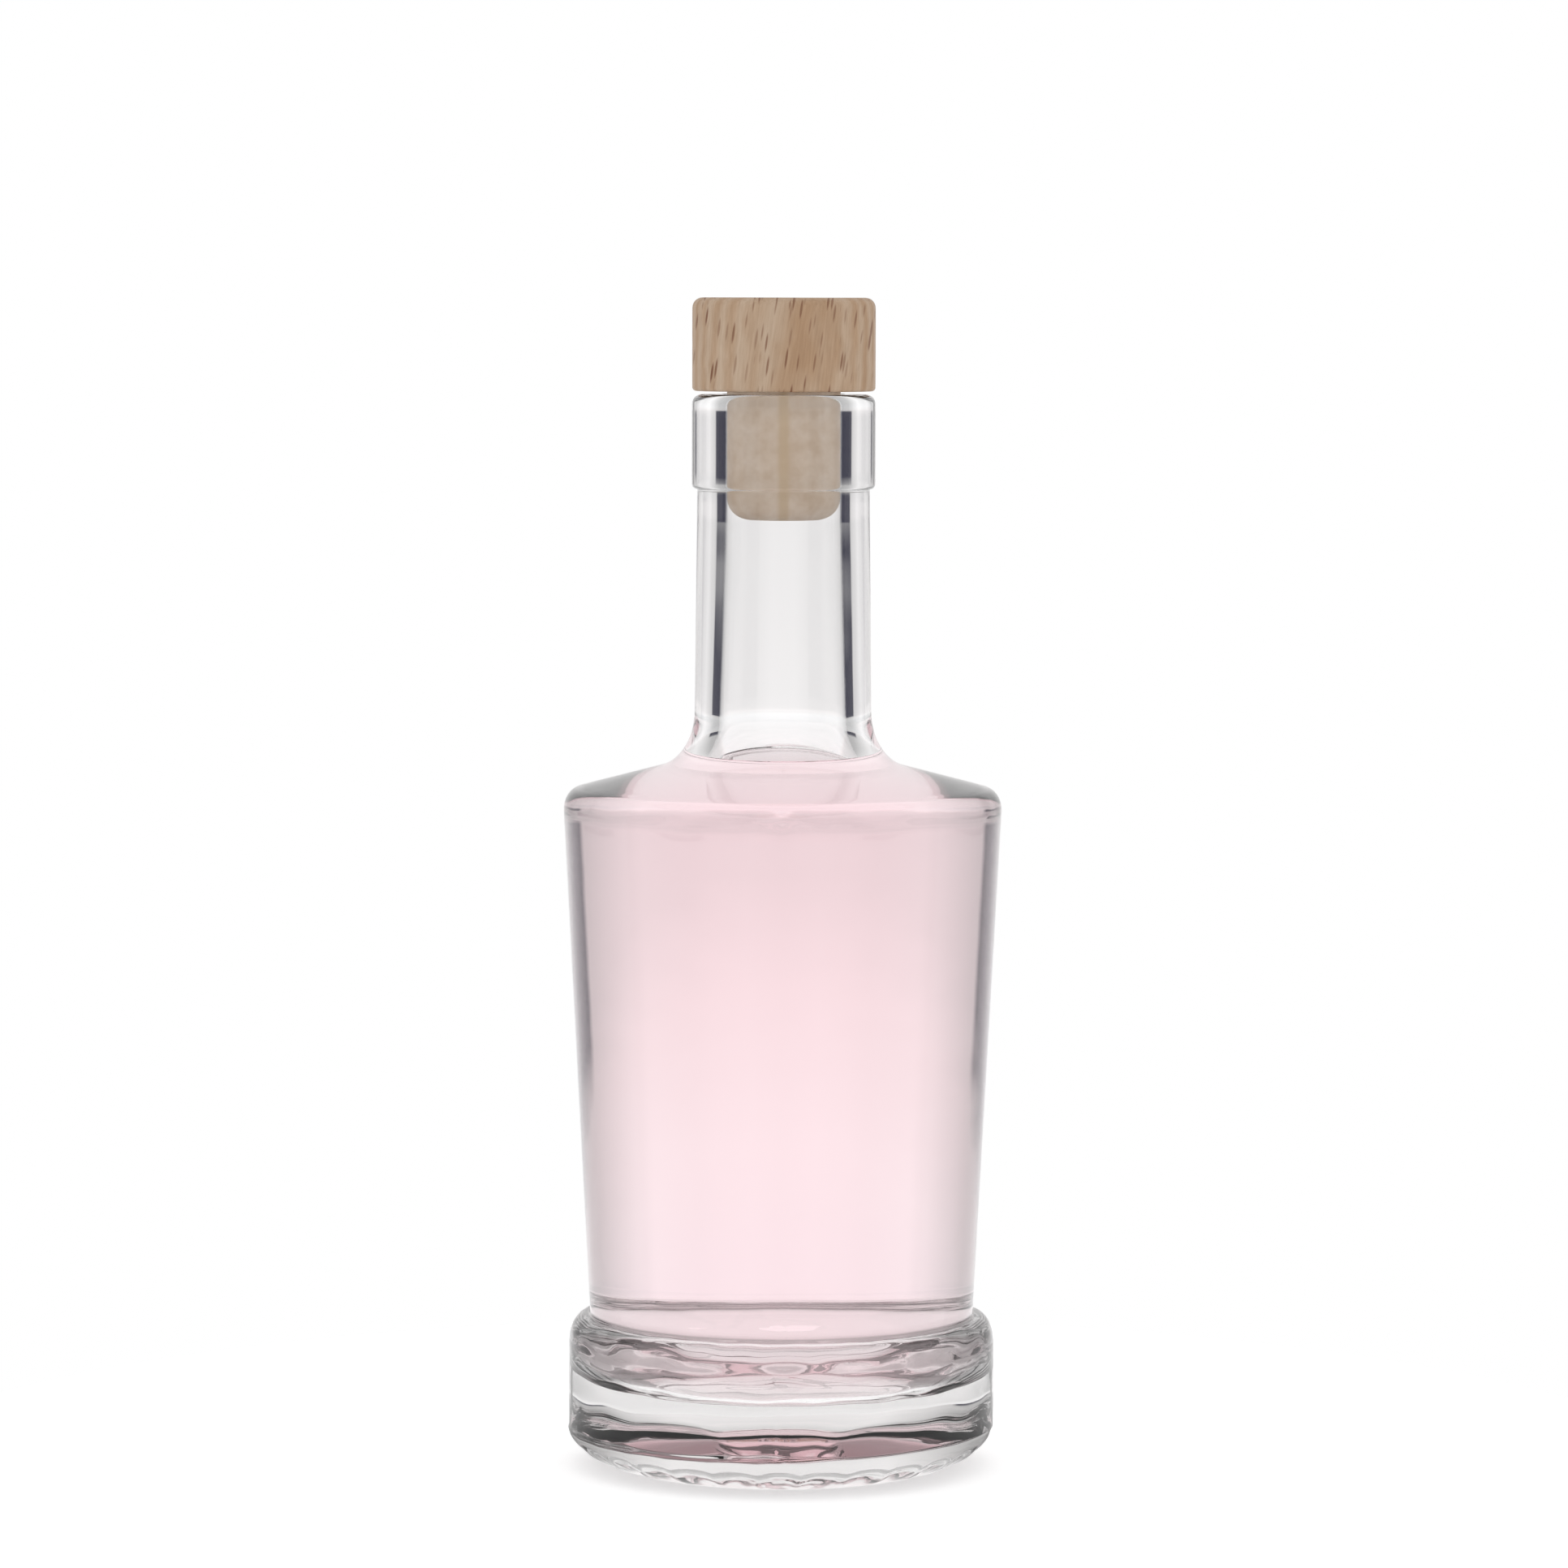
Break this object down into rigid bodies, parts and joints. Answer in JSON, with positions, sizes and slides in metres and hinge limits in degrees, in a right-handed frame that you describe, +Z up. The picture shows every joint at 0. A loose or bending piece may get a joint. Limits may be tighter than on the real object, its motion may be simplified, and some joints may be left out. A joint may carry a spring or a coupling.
{
  "type": "glass bottle",
  "caption": "Round clear glass bottle with a thick stepped foot, a long neck and a finish ring, filled with pink liquid and closed by a push-in stopper with a beech head.",
  "frame": {"origin": "on the bottle's axis, in the plane of the ring that it stands on", "axes": "+Z up along the bottle's axis, from the foot to the stopper; the part is round about Z, so X and Y are any two directions across it"},
  "size_m": [0.0708, 0.0708, 0.1894],
  "materials": {
    "glass": "clear flint glass, fire-polished and glossy",
    "liquid": "clear pale pink liquid",
    "beech": "turned beech, fine sanded, matt",
    "polymer": "moulded beige polymer with a cork-like mottle"
  },
  "bodies": {
    "bottle": {"bottle": "glass", "liquid": "liquid"},
    "stopper": {"stopper_head": "beech", "stopper_shank": "polymer"}
  },
  "joints": [
    {"name": "stopper_pull", "type": "slide", "parent": "bottle", "child": "stopper", "axis": [0, 0, 1], "range_m": [0, 0.045]}
  ]
}
